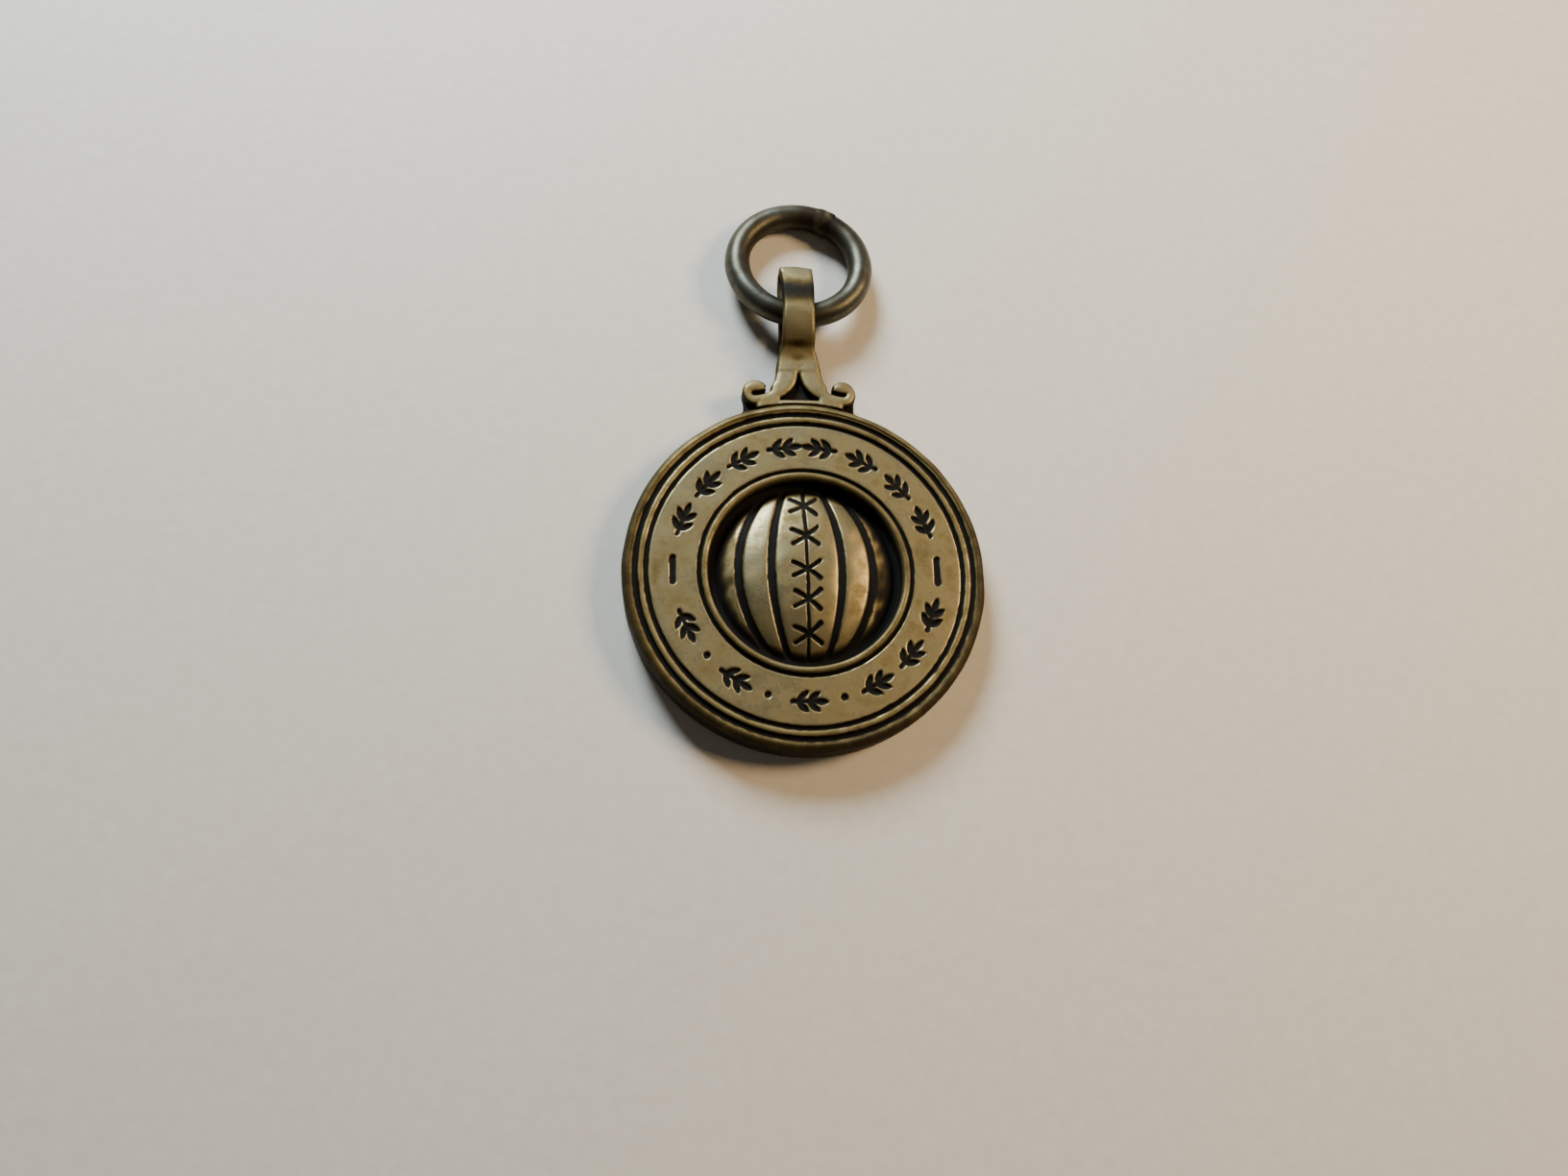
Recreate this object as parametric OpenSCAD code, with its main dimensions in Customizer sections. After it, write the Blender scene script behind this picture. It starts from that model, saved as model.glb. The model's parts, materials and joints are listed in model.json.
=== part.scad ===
// Small die-struck champion's medal with a soldered scroll suspension and a jump ring.
// Origin: centre of the disc's back face. +Z leaves the obverse, +Y points at the ring.

/* [Disc] */
// Outer diameter of the struck disc
disc_d = 28; // [25:0.5:34]
// Thickness of the disc at its rim
disc_t = 2.6; // [2.2:0.1:3.4]
// Rounding of the rim's front edge
rim_round = 0.55; // [0.3:0.05:0.8]
// Rounding of the rim's back edge
back_round = 0.3; // [0.1:0.05:0.5]
// How far the flat band lies below the rim
band_drop = 0.1; // [0:0.05:0.3]

/* [Rings around the face] */
// Distance from the disc's edge to the middle of the outer ring groove
outer_groove_in = 0.97; // [0.85:0.01:1.2]
// Distance from the disc's edge to the middle of the second ring groove
second_groove_in = 1.8; // [1.6:0.05:2.2]
// Radius of both rounded ring grooves
groove_r = 0.2; // [0.1:0.02:0.3]
// Radius of the rounded ridge around the well
well_ridge_r = 0.27; // [0.15:0.01:0.4]
// Radius of the groove outside that ridge
inner_groove_r = 0.15; // [0.1:0.01:0.2]

/* [Ball] */
// Diameter of the well that the ball stands in
well_d = 15.1; // [14.6:0.1:16]
// Depth of the well below the rim
well_depth = 1.2; // [0.6:0.05:1.4]
// Diameter of the ball's relief at the floor of the well
ball_d = 14.0; // [12:0.1:14.2]
// Height of the ball above the rim
ball_rise = 0.4; // [0.1:0.05:0.6]
// Depth of the seams and stitches
seam_depth = 0.22; // [0.1:0.02:0.3]
// Width of the panel seams
seam_w = 0.58; // [0.3:0.02:0.8]
// Width of the laced seam in the middle
lace_w = 0.22; // [0.15:0.01:0.35]
// Distance between stitches along the laced seam
stitch_pitch = 2.48; // [2.2:0.02:2.7]
// Length of one bar of a stitch
stitch_l = 2.9; // [2:0.1:3.2]
// Width of one bar of a stitch
stitch_w = 0.3; // [0.2:0.02:0.4]

/* [Engraved band] */
// Depth of the engraving
engrave_depth = 0.2; // [0.1:0.02:0.4]
// Width of the stems and dashes
stem_w = 0.24; // [0.2:0.02:0.4]
// Length of one leaf
leaf_l = 1.2; // [0.8:0.05:1.3]
// Width of one leaf
leaf_w = 0.42; // [0.3:0.02:0.5]
// Length of each side dash
dash_l = 2.35; // [1.5:0.05:3]
// Width of each side dash
dash_w = 0.44; // [0.3:0.02:0.6]
// Radius of each dot
dot_r = 0.24; // [0.15:0.01:0.35]

/* [Suspension] */
// Thickness of the scroll plate
plate_t = 1.44; // [1.2:0.02:1.6]
// Height of the recessed base behind the scrolls
base_t = 0.8; // [0.5:0.05:1]
// Width across the two scrolls
scroll_span = 9.2; // [8.6:0.1:10]
// Radius of each scroll's curl
curl_r = 1.08; // [0.9:0.02:1.2]
// Width of the pointed recess between the legs
crotch_w = 3.0; // [2:0.1:3.4]
// Height of the pointed recess between the legs
crotch_h = 2.55; // [2:0.05:2.6]
// Width of the strap where it forms the eye
strap_w = 2.6; // [2:0.1:3]
// Thickness of the strap
strap_t = 0.8; // [0.6:0.05:0.95]
// Height of the eye's centre above the disc's edge
eye_rise = 8.1; // [7.9:0.1:9]
// Outer radius of the fold at the top of the eye
fold_r = 1.4; // [1.2:0.05:1.6]
// Thickness of the solder between parts
solder_t = 0.06; // [0.04:0.01:0.1]
// Size of the solder fillets
fillet = 0.45; // [0.2:0.05:0.5]

/* [Jump ring] */
// Wire diameter
wire_d = 2.0; // [1.6:0.1:2.4]
// Inner diameter of the ring
ring_id = 8.3; // [7.6:0.1:10]
// Play left between the wire and each side of the eye, all round its swing
wire_play = 0.06; // [0.04:0.01:0.15]
// Direction of the soldered butt joint, from +X
butt_angle = 69; // [40:1:140]
// Length of the butt joint along the wire
butt_gap = 0.2; // [0.1:0.05:0.4]
// How far the solder lump stands out of the wire
lump_t = 0.05; // [0.03:0.01:0.1]

/* [Hidden] */
$fn = 96;
cut = 0.5;

disc_r = disc_d / 2;
band_z = disc_t - band_drop;
well_r = well_d / 2;
well_floor = disc_t - well_depth;
ball_r = ball_d / 2;
ball_top = disc_t + ball_rise;
ball_sag = ball_top - well_floor;
dome_r = (pow(ball_r, 2) + pow(ball_sag, 2)) / (2 * ball_sag);
dome_z = ball_top - dome_r;
// Distance from the disc's edge to the plain groove on the back
border_in = 1.3;
outer_groove = disc_r - outer_groove_in;
second_groove = disc_r - second_groove_in;
ridge_between = (outer_groove + second_groove) / 2;
thin_ridge_r = (outer_groove - second_groove) / 2 - groove_r;
well_ridge = well_r + well_ridge_r;
inner_groove = well_ridge + well_ridge_r + inner_groove_r;
band_in = inner_groove + inner_groove_r;
band_out = second_groove - groove_r;
band_mid = (band_in + band_out) / 2;
border_groove = disc_r - border_in;
border_groove_r = groove_r / 2;

// Panel seams: distance of each pair from the middle, and radius of its arc
SEAMS = [[2.72, 18.5], [5.2, 9.9]];
stitch_slope = 36;
lace_shift = 0.1;
// Directions of the sprigs on the band, and +1 or -1 for the way that each one grows
TOP_SPRIGS = [for (side = [-1, 1], i = [0:3]) [90 - side * (8.5 + 19.6 * i), side]];
LOW_SPRIGS = [for (a = [205, 236, 268.5, 299, 319, 339]) [a, 1]];
DOTS = [221, 251.5, 284];
stem_l = 1.9;
stem_x = -0.35;
// Where each pair of leaves leaves the stem, and how far it spreads
LEAF_PAIRS = [[-0.85, 42], [-0.05, 38]];
tip_leaf_x = 0.35;

// How far the plate's blank reaches in over the disc before the disc's edge is cut out of it
fit_in = 1.5;
plate_front = disc_t - 0.15;
plate_back = plate_front - plate_t;
base_x = scroll_span / 2 - 0.15;
base_y = disc_r + 0.9;
base_neck_x = 1.3;
base_neck_h = 3.4;
curl_x = scroll_span / 2 - curl_r;
curl_y = disc_r + 1.0;
// Slot that winds into each curl, and the small round hollow at its end
curl_slot_l = 1.5;
curl_slot_w = 0.3;
curl_slot_at = [curl_x - 0.5, curl_y + 0.05];
curl_slot_turn = -16;
curl_hollow_at = [curl_x - 1.05, curl_y + 0.45];
curl_hollow_r = 0.26;
crotch_y = disc_r + 0.45;
neck_r = 2.8;
neck_x = 2.82;
neck_top = disc_r + 4.9;

wire_r = wire_d / 2;
ring_r = (ring_id + wire_d) / 2;
// How far the curved wire bows out of line across the width of the strap
bow = ring_r - sqrt(pow(ring_r, 2) - pow(strap_w / 2, 2));
eye_gap = wire_d + 2 * (wire_play + bow);
loop_depth = eye_gap + 2 * strap_t;
loop_back = plate_back - solder_t - strap_t;
loop_front = loop_back + loop_depth;
eye_y = disc_r + eye_rise;
eye_z = loop_back + loop_depth / 2;
// Outer radii of the strap's bends: neck, lower front, and the two long sides of the eye
hollow_r = 2.3;
crest_r = 4.4;
side_r = 8.35;
rise = loop_front - plate_front;
ramp = acos(1 - rise / (hollow_r + crest_r));
fold_lean = acos((side_r - loop_depth / 2) / (side_r - fold_r));
bend_start = eye_y - (hollow_r + crest_r) * sin(ramp);
tip_y = disc_r + 3.6;
strap_y = crotch_y + crotch_h + 0.1;
ring_far_z = wire_r + lump_t;
ring_lean = asin((eye_z - ring_far_z) / (2 * ring_r));
butt_half = butt_gap / 2 / ring_r * 180 / PI;
lump_half = 6.5;

brass_color = [0.53, 0.45, 0.30];
ring_color = [0.42, 0.40, 0.34];
solder_color = [0.32, 0.25, 0.15];

// Closed pointed oval from the origin along +X
module leaf_2d(l, w) {
  r = (l * l + w * w) / (4 * w);
  intersection() {
    translate([l / 2, r - w / 2]) circle(r);
    translate([l / 2, w / 2 - r]) circle(r);
  }
}

// Bar with round ends, centred on the origin along X
module bar_2d(l, w) {
  square([l - w, w], center = true);
  for (side = [-1, 1])
    translate([side * (l - w) / 2, 0]) circle(w / 2);
}

// Laurel sprig growing along +X: stem, two pairs of leaves and a leaf at the tip
module sprig_2d() {
  translate([stem_x, 0]) bar_2d(stem_l, stem_w);
  for (pair = LEAF_PAIRS, side = [-1, 1])
    translate([pair[0], 0]) rotate(side * pair[1]) leaf_2d(leaf_l, leaf_w);
  translate([tip_leaf_x, 0]) leaf_2d(leaf_l, leaf_w);
}

// Engraved ornament of the flat band
module band_2d() {
  for (s = concat(TOP_SPRIGS, LOW_SPRIGS))
    rotate(s[0]) translate([band_mid, 0]) rotate(s[1] * 90) sprig_2d();
  for (a = DOTS)
    rotate(a) translate([band_mid, 0]) circle(dot_r);
  for (side = [-1, 1])
    translate([side * band_mid, 0]) rotate(90) bar_2d(dash_l, dash_w);
}

// Seams and stitches of the ball, seen from above
module seams_2d() {
  for (seam = SEAMS, side = [-1, 1])
    translate([side * (seam[0] - seam[1]), 0]) difference() {
      circle(seam[1] + seam_w / 2);
      circle(seam[1] - seam_w / 2);
      translate([-side * seam[1], 0]) square(2 * seam[1], center = true);
    }
  square([lace_w, ball_d], center = true);
  for (i = [-2:2], side = [-1, 1])
    translate([0, lace_shift + i * stitch_pitch]) rotate(side * stitch_slope)
      square([stitch_l, stitch_w], center = true);
}

// Half section of the disc, without the ball
module disc_half_2d() {
  edge_z = disc_t - rim_round;
  difference() {
    union() {
      square([disc_r - rim_round, band_z]);
      translate([outer_groove, band_z - cut]) square([disc_r - rim_round - outer_groove, band_drop + cut]);
      translate([0, back_round]) square([disc_r, edge_z - back_round]);
      translate([disc_r - rim_round, edge_z]) circle(rim_round);
      translate([disc_r - rim_round - back_round, 0]) square([rim_round, back_round]);
      translate([disc_r - back_round, back_round]) circle(back_round);
      translate([well_ridge, band_z - well_ridge_r / 2]) circle(well_ridge_r);
      translate([ridge_between, band_z]) circle(thin_ridge_r);
    }
    translate([0, well_floor]) square([well_r, disc_t]);
    translate([inner_groove, band_z]) circle(inner_groove_r);
    translate([second_groove, band_z]) circle(groove_r);
    translate([outer_groove, band_z]) circle(groove_r);
    translate([border_groove, 0]) circle(border_groove_r);
    translate([-cut, -cut]) square([cut, disc_t + 2 * cut]);
  }
}

module ball() {
  difference() {
    intersection() {
      translate([0, 0, dome_z]) sphere(dome_r, $fn = 192);
      cylinder(r = ball_r, h = ball_top + cut);
    }
    translate([0, 0, -dome_r]) cube(2 * dome_r + 2 * (well_floor - cut), center = true);
    difference() {
      linear_extrude(ball_top + cut) seams_2d();
      translate([0, 0, dome_z]) sphere(dome_r - seam_depth, $fn = 192);
    }
  }
}

module disc() {
  color(brass_color) difference() {
    union() {
      rotate_extrude($fn = 192) disc_half_2d();
      ball();
    }
    translate([0, 0, band_z - engrave_depth]) linear_extrude(engrave_depth + cut) band_2d();
  }
}

// Place something on both sides of the middle
module both_sides() {
  children();
  mirror([1, 0, 0]) children();
}

// Outline of the neck, from the scroll feet up to the strap
module neck_2d() {
  polygon([
    [0, disc_r], [curl_x, disc_r], [curl_x, disc_r + 0.6], [2.5, disc_r + 1.2],
    [1.98, disc_r + 2.1], [1.76, disc_r + 3], [1.6, disc_r + 4.2], [1.38, neck_top], [0, neck_top]
  ]);
}

// Outline of one scroll foot and its half of the neck, seen from the front
module scroll_2d() {
  difference() {
    union() {
      neck_2d();
      translate([0, disc_r - fit_in]) square([curl_x, fit_in]);
      translate([curl_x, curl_y]) circle(curl_r);
    }
    translate(curl_slot_at) rotate(curl_slot_turn) bar_2d(curl_slot_l, curl_slot_w);
    translate(curl_hollow_at) circle(curl_hollow_r);
    difference() {
      translate([0, crotch_y]) square([crotch_w / 2, crotch_h]);
      translate([neck_x, crotch_y + crotch_h]) circle(neck_r);
    }
  }
}

// Plain outline of the base behind the scrolls
module base_2d() {
  translate([0, disc_r - fit_in]) square([base_x, base_y - disc_r + fit_in]);
  translate([0, disc_r]) square([base_neck_x, base_neck_h]);
}

// One stretch of a line that turns by a given angle at a given radius, or runs straight
function turned(p, a, step) =
  step[0] == "run"
  ? [[p[0] + step[1] * cos(a), p[1] + step[1] * sin(a)], a]
  : [[
      p[0] + sign(step[2]) * step[1] * (sin(a + step[2]) - sin(a)),
      p[1] - sign(step[2]) * step[1] * (cos(a + step[2]) - cos(a))
    ], a + step[2]];

// Points and headings along a list of runs and bends, in steps of about 6 degrees
function path(p, a, steps, i = 0) =
  i == len(steps)
  ? [[p, a]]
  : let (
      s = steps[i],
      n = s[0] == "run" ? 1 : max(2, ceil(abs(s[2]) / 6)),
      part = s[0] == "run" ? s : ["bend", s[1], s[2] / n],
      pts = walk(p, a, part, n)
    )
    concat([for (k = [0:n - 1]) pts[k]], path(pts[n][0], pts[n][1], steps, i + 1));

function walk(p, a, part, n) =
  n == 0 ? [[p, a]] : let (q = turned(p, a, part)) concat([[p, a]], walk(q[0], q[1], part, n - 1));

function offset_points(line, d) = [for (q = line) [q[0][0] - d * sin(q[1]), q[0][1] + d * cos(q[1])]];

// Side profile of the strap along [y, z]: neck, ramp, crest, fold and the tongue down the back
module strap_side_2d() {
  half = strap_t / 2;
  line = path([strap_y, plate_front - half], 0, [
    ["run", bend_start - strap_y],
    ["bend", hollow_r + half, ramp],
    ["bend", crest_r - half, -ramp],
    ["bend", side_r - half, -fold_lean],
    ["bend", fold_r - half, 2 * fold_lean - 180],
    ["bend", side_r - half, -fold_lean],
    ["run", eye_y - tip_y]
  ]);
  edge = offset_points(line, half);
  inner = offset_points(line, -half);
  polygon(concat(edge, [for (i = [len(inner) - 1:-1:0]) inner[i]]));
}

// Turns a side profile drawn in [y, z] into a band of a given width across X
module across(w) {
  translate([-w / 2, 0, 0]) rotate([90, 0, 90]) linear_extrude(w) children();
}

module suspension() {
  color(brass_color) difference() {
    union() {
      both_sides() translate([0, 0, plate_back]) {
        linear_extrude(plate_t) scroll_2d();
        linear_extrude(base_t) base_2d();
      }
      intersection() {
        across(2 * curl_x) strap_side_2d();
        linear_extrude(loop_front + cut) {
          both_sides() neck_2d();
          translate([-strap_w / 2, disc_r]) square([strap_w, 2 * eye_rise]);
        }
      }
    }
    translate([0, 0, -cut]) cylinder(r = disc_r + solder_t, h = loop_front, $fn = 192);
  }
}

// Thin layer that follows the disc's edge under the base, with a small fillet at each end
module rim_solder() {
  corner_y = sqrt(pow(disc_r, 2) - pow(base_x, 2));
  hollow = 0.85 * fillet;
  color(solder_color) translate([0, 0, plate_back]) linear_extrude(base_t) {
    intersection() {
      difference() {
        circle(disc_r + solder_t, $fn = 192);
        circle(disc_r, $fn = 192);
      }
      translate([-base_x, 0]) square([2 * base_x, disc_d]);
    }
    both_sides() difference() {
      polygon([
        [base_x, corner_y - fillet],
        [base_x + fillet, corner_y - fillet],
        [base_x + fillet, corner_y],
        [base_x, corner_y + fillet]
      ]);
      circle(disc_r, $fn = 192);
      translate([base_x + fillet, corner_y + hollow]) circle(hollow);
    }
  }
}

// Layer between the tongue and the back of the neck, with a fillet below the tongue's tip
module tongue_solder() {
  tongue_front = plate_back - solder_t;
  color(solder_color) across(strap_w) polygon([
    [tip_y - fillet, plate_back],
    [neck_top, plate_back],
    [neck_top, tongue_front],
    [tip_y, tongue_front],
    [tip_y, tongue_front - fillet]
  ]);
}

// Puts a ring drawn round the origin where the jump ring hangs in the eye
module hung() {
  translate([0, eye_y, eye_z]) rotate([-ring_lean, 0, 0]) translate([0, ring_r, 0]) children();
}

// Round wire from one direction to another
module wire(r, from, to) {
  rotate_extrude(start = from, angle = to - from, $fn = 192) translate([ring_r, 0]) circle(r);
}

module jump_ring() {
  color(ring_color) hung() wire(wire_r, butt_angle + butt_half, butt_angle + 360 - butt_half);
}

module ring_solder() {
  color(solder_color) hung() difference() {
    wire(wire_r + lump_t, butt_angle - lump_half, butt_angle + lump_half);
    wire(wire_r, butt_angle + butt_half, butt_angle + 2 * lump_half);
    wire(wire_r, butt_angle - 2 * lump_half, butt_angle - butt_half);
  }
}

disc();
suspension();
rim_solder();
tongue_solder();
jump_ring();
ring_solder();
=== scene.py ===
import json
import math

import bpy
import numpy as np
from mathutils import Matrix, Vector


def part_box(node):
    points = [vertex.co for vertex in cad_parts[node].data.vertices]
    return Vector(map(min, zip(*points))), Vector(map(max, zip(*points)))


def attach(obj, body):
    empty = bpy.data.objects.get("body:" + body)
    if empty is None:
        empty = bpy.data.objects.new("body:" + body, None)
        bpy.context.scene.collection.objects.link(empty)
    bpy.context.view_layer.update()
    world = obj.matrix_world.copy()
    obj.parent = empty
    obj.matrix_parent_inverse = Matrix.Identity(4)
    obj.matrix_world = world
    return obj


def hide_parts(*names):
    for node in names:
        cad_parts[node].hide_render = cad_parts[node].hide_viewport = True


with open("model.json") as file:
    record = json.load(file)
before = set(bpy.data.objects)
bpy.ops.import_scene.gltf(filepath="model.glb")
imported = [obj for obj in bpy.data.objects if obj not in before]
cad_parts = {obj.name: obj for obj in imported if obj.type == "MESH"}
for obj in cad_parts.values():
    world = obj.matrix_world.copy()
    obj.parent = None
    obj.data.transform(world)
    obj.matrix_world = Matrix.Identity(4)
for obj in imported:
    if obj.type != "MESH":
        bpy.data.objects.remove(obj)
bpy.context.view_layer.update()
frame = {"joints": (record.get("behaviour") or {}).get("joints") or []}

# Everything below is worked out in millimetres and turned into metres when a mesh is made.
MM = 0.001


# ---------------------------------------------------------------- sizes

def box_mm(node):
    low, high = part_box(node)
    return np.array(low) / MM, np.array(high) / MM


DISC_LOW, DISC_HIGH = box_mm("disc")
DISC_R = (DISC_HIGH[0] - DISC_LOW[0]) / 2
BALL_TOP = DISC_HIGH[2]
STRIP_LOW, STRIP_HIGH = box_mm("suspension")
STRAP_BACK, STRAP_FRONT = STRIP_LOW[2], STRIP_HIGH[2]
SCROLL_HALF = STRIP_HIGH[0]
SWING = next(joint for joint in frame["joints"] if joint["name"] == "ring_swing")
EYE_Y, EYE_Z = (SWING["pos_m"][1] / MM, SWING["pos_m"][2] / MM)

# The disc's section, and the ring grooves and ridges of its face
RIM_Z = 2.6
BAND_Z = 2.5
RIM_ROUND = 0.6
BACK_ROUND = 0.3
WELL_R = 7.55
WELL_FLOOR = 1.4
BALL_R = 7.0
BALL_SAG = BALL_TOP - WELL_FLOOR
OUTER_GROOVE = DISC_R - 0.97
SECOND_GROOVE = DISC_R - 1.8
THIN_RIDGE = (OUTER_GROOVE + SECOND_GROOVE) / 2
WELL_RIDGE = WELL_R + 0.27
WELL_RIDGE_R = 0.29
INNER_GROOVE = WELL_RIDGE + 0.42
BAND_MID = (INNER_GROOVE + 0.15 + SECOND_GROOVE - 0.2) / 2
BORDER_GROOVE = DISC_R - 1.3
GROOVE_DEPTH = 0.2
ENGRAVE_DEPTH = 0.17
SEAM_DEPTH = 0.18
STITCH_DEPTH = 0.16

# The ball's lines: how far each pair of seams lies from the middle, the radius of its arc, and the stitches
SEAMS = ((2.72, 18.5), (5.2, 9.9))
STITCH_Y = (-4.98, -2.38, -0.03, 2.68, 5.36)
STITCH_SLOPE = math.radians(33)

# The band's ornament: direction of each sprig with the way it grows, and directions of the dots
TOP_SPRIGS = [(90 - side * (8.5 + 19.6 * i), side) for side in (-1, 1) for i in range(4)]
LOW_SPRIGS = [(angle, 1) for angle in (205, 236, 268.5, 299, 319, 339)]
DOTS = (221, 251.5, 284)
DOT_R = 0.24
LEAF_L, LEAF_W = 1.2, 0.46
LEAF_PAIRS = ((-0.85, 42), (-0.05, 38))
STEM_X, STEM_HALF_L, STEM_HALF_W = -0.35, 0.95, 0.14
TIP_LEAF_X = 0.35
SPRIG_REACH = 2.4
DASH_HALF_L, DASH_HALF_W = 1.17, 0.22

# The suspension
PLATE_FRONT = RIM_Z - 0.15
PLATE_BACK = PLATE_FRONT - 1.44
BASE_T = 0.8
BASE_X = SCROLL_HALF - 0.15
BASE_Y = DISC_R + 0.9
BASE_NECK_X = 1.3
BASE_NECK_Y = DISC_R + 3.4
BLANK_Y = DISC_R - 1.5
CURL_R = 1.08
CURL_X = SCROLL_HALF - CURL_R
CURL_Y = DISC_R + 1.0
CROTCH_Y = DISC_R + 0.42
CROTCH_TOP = DISC_R + 3.1
LEG_ARC_X, LEG_ARC_Y, LEG_ARC_R = 2.82, DISC_R + 3.0, 2.8
STRAP_T = 0.8
STRAP_W = 2.6
FOLD_R = 1.4
SIDE_R = 8.35
CREST_R = 4.4
HOLLOW_R = 2.3
SOLDER_T = 0.06
NECK_TOP = DISC_R + 4.9
TIP_Y = DISC_R + 3.6
STRAP_Y = DISC_R + 3.1
NET_STEP = 0.09

# The jump ring, which is a little out of round and turned sideways about the eye
RING_LOW, RING_HIGH = box_mm("jump_ring")
WIRE_R = 1.0
LUMP_T = 0.05
RING_R = (RING_HIGH[0] - RING_LOW[0]) / 2 - WIRE_R
RING_LEAN = math.asin((EYE_Z - WIRE_R - LUMP_T) / (2 * RING_R))
BUTT_ANGLE = math.radians(69)
BUTT_HALF_GAP = 0.1
OUT_OF_ROUND = 0.982
RING_SLEW = math.radians(-5.2)

# Lights: name, place in metres, width in metres, power in watts, colour
LIGHTS = (
    ("warm_lamp", (0.17, 0.05, 0.15), 0.08, 0.48, (1.0, 0.72, 0.42)),
    ("cool_window", (-0.06, 0.17, 0.105), 0.08, 0.82, (0.76, 0.88, 1.0)),
    ("room_fill", (0.04, -0.14, 0.24), 0.30, 0.035, (1.0, 0.84, 0.62)),
)
ROOM_COLOR = (0.78, 0.82, 0.90, 1)
ROOM_STRENGTH = 0.04
FLOOR_WIDTH = 1.6


# ---------------------------------------------------------------- camera, light and floor

def make_camera():
    """A phone-like camera a hand's breadth above the medal, looking down from the lower left."""
    away, tilt, turn, roll = 95.3, math.radians(19.09), math.radians(22.4), math.radians(-1.9)
    aim = Vector((-1.79, -1.43, BAND_Z))
    back = Vector((-math.sin(turn) * math.sin(tilt), -math.cos(turn) * math.sin(tilt), math.cos(tilt)))
    right = (-back).cross(Vector((0, 1, 0))).normalized()
    up = right.cross(-back)
    data = bpy.data.cameras.new("camera")
    data.sensor_width = 36
    data.lens = 28.9
    data.clip_start = 0.005
    data.clip_end = 5
    camera = bpy.data.objects.new("camera", data)
    turned_right = right * math.cos(roll) + up * math.sin(roll)
    turned_up = up * math.cos(roll) - right * math.sin(roll)
    axes = Matrix((turned_right, turned_up, back)).transposed()
    camera.matrix_world = Matrix.Translation((aim + back * away) * MM) @ axes.to_4x4()
    bpy.context.collection.objects.link(camera)
    bpy.context.scene.camera = camera


def make_light(name, place, size, power, color):
    """A round soft box that faces the medal; place is in metres."""
    data = bpy.data.lights.new(name, "AREA")
    data.shape = "DISK"
    data.size = size
    data.energy = power
    data.color = color
    light = bpy.data.objects.new(name, data)
    light.location = place
    light.rotation_euler = (-Vector(place)).to_track_quat("-Z", "Y").to_euler()
    bpy.context.collection.objects.link(light)


def make_stage():
    world = bpy.data.worlds.new("room")
    bpy.context.scene.world = world
    world.use_nodes = True
    background = world.node_tree.nodes["Background"]
    background.inputs["Color"].default_value = ROOM_COLOR
    background.inputs["Strength"].default_value = ROOM_STRENGTH
    for light in LIGHTS:
        make_light(*light)
    bpy.ops.mesh.primitive_plane_add(size=FLOOR_WIDTH, location=(0, 0, 0))
    floor = bpy.context.object
    floor.name = "floor"
    floor.data.materials.append(paper_material())


# ---------------------------------------------------------------- materials

def new_material(name):
    material = bpy.data.materials.new(name)
    material.use_nodes = True
    tree = material.node_tree
    shader = tree.nodes["Principled BSDF"]
    return material, tree, shader


def add(tree, kind, **values):
    """A node with its properties and unlinked inputs set by name."""
    node = tree.nodes.new(kind)
    for key, value in values.items():
        if key in node.inputs:
            node.inputs[key].default_value = value
        else:
            setattr(node, key, value)
    return node


def math_node(tree, operation, *values, clamp=False):
    """The result of a Math node on numbers and other nodes' outputs."""
    node = tree.nodes.new("ShaderNodeMath")
    node.operation = operation
    node.use_clamp = clamp
    for socket, value in zip(node.inputs, values):
        if isinstance(value, (int, float)):
            socket.default_value = value
        else:
            tree.links.new(value, socket)
    return node.outputs[0]


def ramp(tree, factor, stops):
    """A colour ramp; stops are (position, (r, g, b))."""
    node = tree.nodes.new("ShaderNodeValToRGB")
    elements = node.color_ramp.elements
    while len(elements) < len(stops):
        elements.new(0.5)
    for element, (position, color) in zip(elements, stops):
        element.position = position
        element.color = (*color, 1)
    tree.links.new(factor, node.inputs[0])
    return node.outputs[0]


def noise(tree, scale, detail=4, rough=0.55):
    """Noise in the object's own space, with scale in features per millimetre."""
    place = add(tree, "ShaderNodeTexCoord")
    sized = add(tree, "ShaderNodeMapping", Scale=(1 / MM,) * 3)
    tree.links.new(place.outputs["Object"], sized.inputs["Vector"])
    node = add(tree, "ShaderNodeTexNoise", Scale=scale, Detail=detail, Roughness=rough)
    tree.links.new(sized.outputs["Vector"], node.inputs["Vector"])
    return node.outputs["Fac"]


def grey_ramp(tree, factor, stops):
    """A ramp from one plain value to another; stops are (position, value)."""
    return ramp(tree, factor, [(position, (value,) * 3) for position, value in stops])


def srgb(*values):
    """Linear colour from 0 to 255 display values."""
    return tuple((v / 255 / 12.92) if v <= 10 else ((v / 255 + 0.055) / 1.055) ** 2.4 for v in values)


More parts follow.
